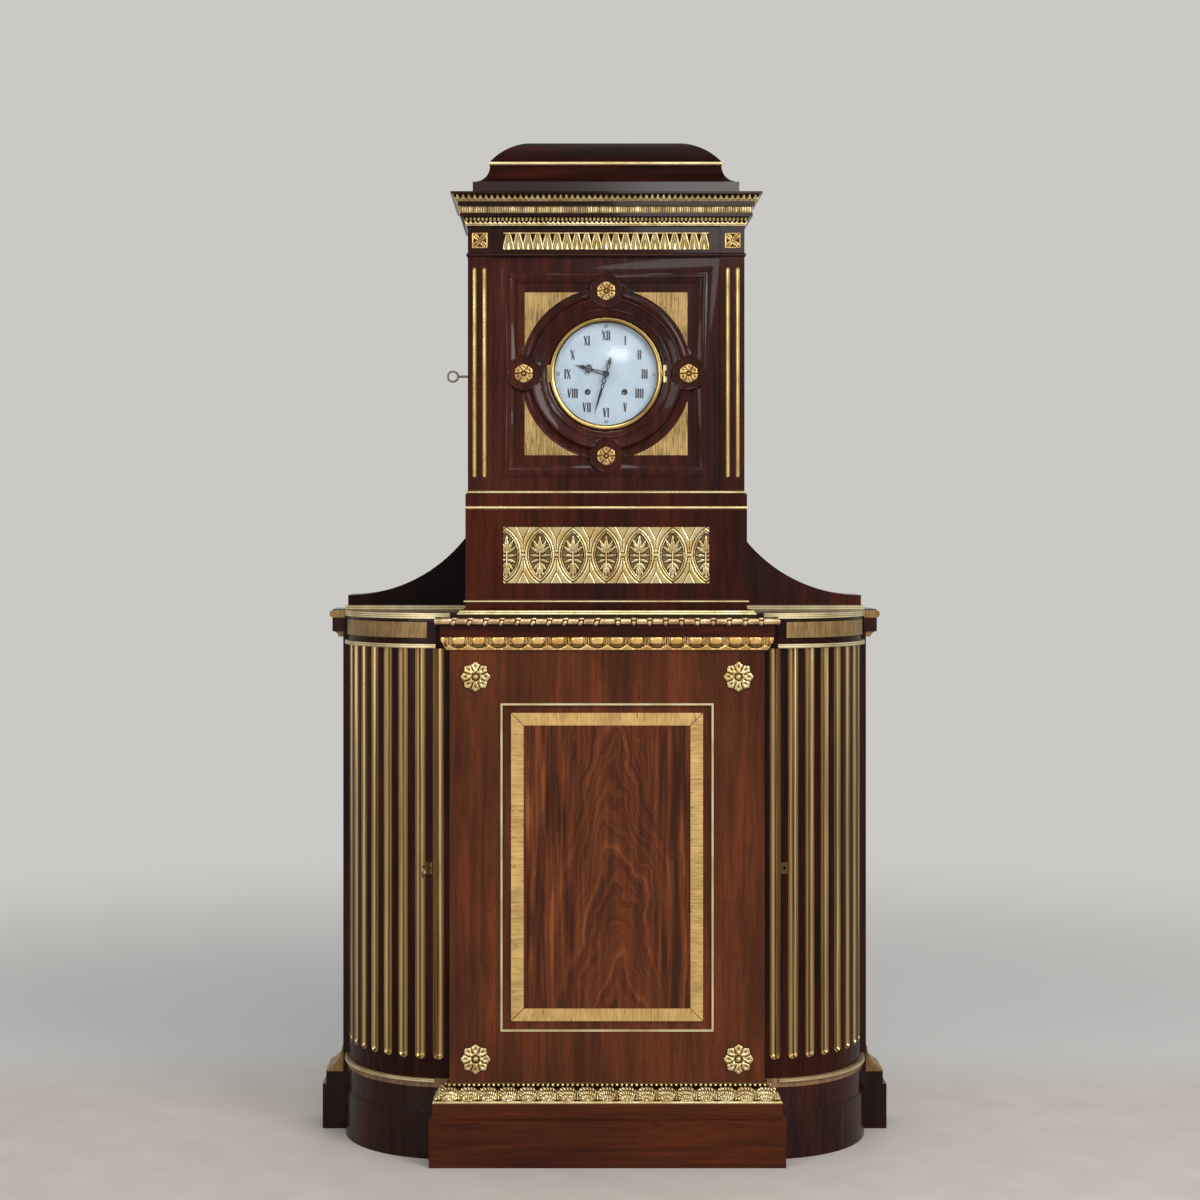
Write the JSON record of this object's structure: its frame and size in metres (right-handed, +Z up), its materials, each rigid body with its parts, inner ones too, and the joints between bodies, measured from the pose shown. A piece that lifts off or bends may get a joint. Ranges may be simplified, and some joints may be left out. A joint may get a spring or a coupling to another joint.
{
  "type": "longcase clock with side cupboards",
  "caption": "Tall weight-driven mahogany clock on a cabinet with brass-fluted quarter-round cupboard doors, moulded dial front and gilt mounts.",
  "frame": {"origin": "on the floor, under the middle of the case's bounding box", "axes": "+Z up, +X to the right as seen from the front, the dial faces -Y"},
  "size_m": [1.234, 0.42, 2.147],
  "materials": {
    "mahogany": "dark french-polished mahogany, glossy",
    "flame_mahogany": "flame-figured mahogany veneer, french polished",
    "oak": "plain carcase wood, unpolished",
    "gilt_bronze": "chased and gilt bronze, burnished on the high places",
    "polished_brass": "polished and lacquered brass",
    "movement_brass": "brushed brass",
    "bell_metal": "turned bell metal",
    "steel": "filed and polished steel",
    "blued_steel": "heat-blued steel",
    "enamel": "white vitreous enamel with black numerals",
    "clear_glass": "clear domed glass",
    "gut_line": "twisted gut line"
  },
  "bodies": {
    "case": {"plinth_front": "mahogany", "plinth_walls": "mahogany", "floor_board": "oak", "base_moulding": "gilt_bronze", "front_board": "mahogany", "front_panel": "flame_mahogany", "front_panel_band": "gilt_bronze", "cheeks": "oak", "pilasters": "mahogany", "back_board": "oak", "top_board": "mahogany", "wing_friezes": "mahogany", "wing_mounts": "gilt_bronze", "cornice_front": "mahogany", "cornice_rope_moulding": "gilt_bronze", "cornice_egg_moulding": "gilt_bronze", "cabinet_fillets": "polished_brass", "rosettes": "gilt_bronze", "shoulders": "mahogany", "hood_base": "mahogany", "hood_mounts": "gilt_bronze", "hood_front": "mahogany", "hood_spandrels": "gilt_bronze", "hood_posts": "mahogany", "hood_flutes": "polished_brass", "hood_case": "mahogany", "hood_frieze": "mahogany", "hood_cornice": "mahogany", "hood_cornice_mounts": "gilt_bronze", "caddy_top": "mahogany", "hood_fillets": "polished_brass", "line_right": "gut_line", "line_left": "gut_line", "dial": "enamel", "bezel_hinge": "polished_brass", "seat_board": "oak", "movement_frame": "movement_brass", "bell": "bell_metal"},
    "door_left": {"door_left": "mahogany", "door_left_brass": "polished_brass"},
    "door_right": {"door_right": "mahogany", "door_right_brass": "polished_brass"},
    "bolt_left": {"bolt_left": "steel"},
    "bolt_right": {"bolt_right": "steel"},
    "key_left": {"key_left": "steel"},
    "hood_door": {"hood_door": "mahogany", "hood_lock": "polished_brass"},
    "hood_bolt": {"hood_bolt": "steel"},
    "hood_key": {"hood_key": "steel"},
    "bezel": {"bezel": "polished_brass", "bezel_glass": "clear_glass"},
    "minute_hand": {"minute_hand": "blued_steel"},
    "hour_hand": {"hour_hand": "blued_steel"},
    "pendulum": {"pendulum": "polished_brass"},
    "crutch": {"crutch": "steel"},
    "hammer": {"hammer": "steel"},
    "weight_left": {"weight_left": "polished_brass"},
    "weight_right": {"weight_right": "polished_brass"},
    "barrel_left": {"barrel_left": "movement_brass"},
    "barrel_right": {"barrel_right": "movement_brass"}
  },
  "joints": [
    {"name": "door_left_swing", "type": "hinge", "parent": "case", "child": "door_left", "pos_m": [-0.54723, 0.083, 0.6], "axis": [0, 0, -1], "range_deg": [0, 95]},
    {"name": "door_right_swing", "type": "hinge", "parent": "case", "child": "door_right", "pos_m": [0.54723, 0.083, 0.6], "axis": [0, 0, 1], "range_deg": [0, 95]},
    {"name": "bolt_left_slide", "type": "slide", "parent": "door_left", "child": "bolt_left", "axis": [1, 0, 0], "range_m": [0, 0.01]},
    {"name": "bolt_right_slide", "type": "slide", "parent": "door_right", "child": "bolt_right", "axis": [-1, 0, 0], "range_m": [0, 0.01]},
    {"name": "key_left_turn", "type": "hinge", "parent": "door_left", "child": "key_left", "pos_m": [-0.37027, -0.13272, 0.604], "axis": [-0.1917, -0.9815, 0], "range_deg": [0, 180]},
    {"name": "hood_door_swing", "type": "hinge", "parent": "case", "child": "hood_door", "pos_m": [-0.284, 0.172, 1.64], "axis": [0, 0, -1], "range_deg": [0, 95]},
    {"name": "hood_bolt_slide", "type": "slide", "parent": "hood_door", "child": "hood_bolt", "axis": [0, -1, 0], "range_m": [0, 0.01]},
    {"name": "hood_key_turn", "type": "hinge", "parent": "hood_door", "child": "hood_key", "pos_m": [-0.3, 0.0105, 1.639], "axis": [-1, 0, 0], "range_deg": [0, 180]},
    {"name": "bezel_swing", "type": "hinge", "parent": "case", "child": "bezel", "pos_m": [0.1224, -0.079, 1.639], "axis": [0, 0, 1], "range_deg": [0, 110]},
    {"name": "minute_turn", "type": "hinge", "parent": "case", "child": "minute_hand", "pos_m": [0, -0.072, 1.639], "axis": [0, 1, 0], "continuous": true},
    {"name": "hour_turn", "type": "hinge", "parent": "case", "child": "hour_hand", "pos_m": [0, -0.068, 1.639], "axis": [0, 1, 0], "continuous": true},
    {"name": "pendulum_swing", "type": "hinge", "parent": "case", "child": "pendulum", "pos_m": [0, 0.065, 1.7017], "axis": [0, 1, 0], "range_deg": [-3, 3]},
    {"name": "crutch_swing", "type": "hinge", "parent": "case", "child": "crutch", "pos_m": [0, 0.065, 1.7017], "axis": [0, 1, 0], "range_deg": [-3, 3]},
    {"name": "hammer_lift", "type": "hinge", "parent": "case", "child": "hammer", "pos_m": [0.078, 0.012, 1.66], "axis": [0, 1, 0], "range_deg": [0, 12]},
    {"name": "weight_left_lift", "type": "slide", "parent": "case", "child": "weight_left", "axis": [0, 0, 1], "range_m": [0, 0.6], "deforming": ["line_left"]},
    {"name": "weight_right_lift", "type": "slide", "parent": "case", "child": "weight_right", "axis": [0, 0, 1], "range_m": [0, 0.6], "deforming": ["line_right"]},
    {"name": "barrel_left_turn", "type": "hinge", "parent": "case", "child": "barrel_left", "pos_m": [-0.039, 0.006, 1.601], "axis": [0, 1, 0], "range_deg": [0, 3010]},
    {"name": "barrel_right_turn", "type": "hinge", "parent": "case", "child": "barrel_right", "pos_m": [0.039, 0.006, 1.601], "axis": [0, 1, 0], "range_deg": [-3010, 0]}
  ],
  "couplings": [
    {"joint": "hour_turn", "follows": "minute_turn", "ratio": 0.083333},
    {"joint": "crutch_swing", "follows": "pendulum_swing", "ratio": 1},
    {"joint": "barrel_left_turn", "follows": "weight_left_lift", "rad_per_m": 87.336},
    {"joint": "barrel_right_turn", "follows": "weight_right_lift", "rad_per_m": -87.336},
    {"joint": "key_left_turn", "follows": "bolt_left_slide", "rad_per_m": 314.16},
    {"joint": "hood_key_turn", "follows": "hood_bolt_slide", "rad_per_m": 314.16}
  ]
}
